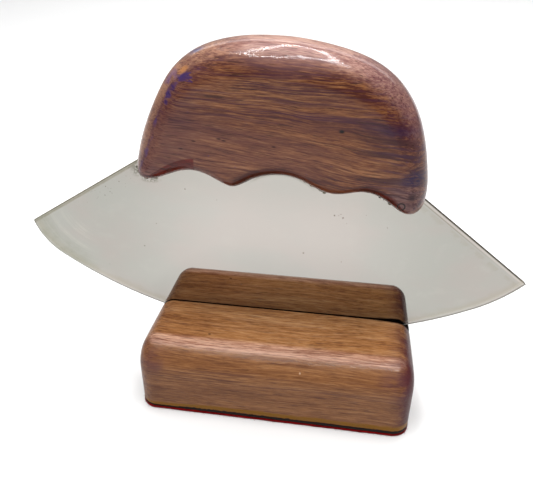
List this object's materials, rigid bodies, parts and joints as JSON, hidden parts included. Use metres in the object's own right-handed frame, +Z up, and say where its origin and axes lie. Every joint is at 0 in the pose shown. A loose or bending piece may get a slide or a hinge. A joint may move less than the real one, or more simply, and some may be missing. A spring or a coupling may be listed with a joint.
{
  "type": "ulu knife with stand",
  "caption": "Ulu-style chopping knife: one wide curved steel blade under a D-shaped wooden grip with finger grooves, standing in a slotted wooden rest with a felt underside.",
  "frame": {"origin": "centre of the felt underside of the rest, on the table", "axes": "+X along the blade and the slot, to the right seen from the front; the front of the rest faces -Y; +Z up"},
  "size_m": [0.1795, 0.0632, 0.1254],
  "materials": {
    "stand_wood": "oiled, satin, purple-brown edges",
    "felt_adhesive": "dark dried film",
    "red_felt": "pressed felt",
    "blade_steel": "polished, slightly hazy",
    "grip_wood": "glossy lacquer over dyed grain",
    "epoxy": "cured resin, uneven"
  },
  "bodies": {
    "stand": {"stand_block": "stand_wood", "felt_glue": "felt_adhesive", "felt_pad": "red_felt"},
    "knife": {"blade": "blade_steel", "grip": "grip_wood", "grip_glue": "epoxy"}
  },
  "joints": [
    {"name": "knife_lift", "type": "slide", "parent": "stand", "child": "knife", "axis": [0, 0, 1], "range_m": [0, 0.03]}
  ]
}
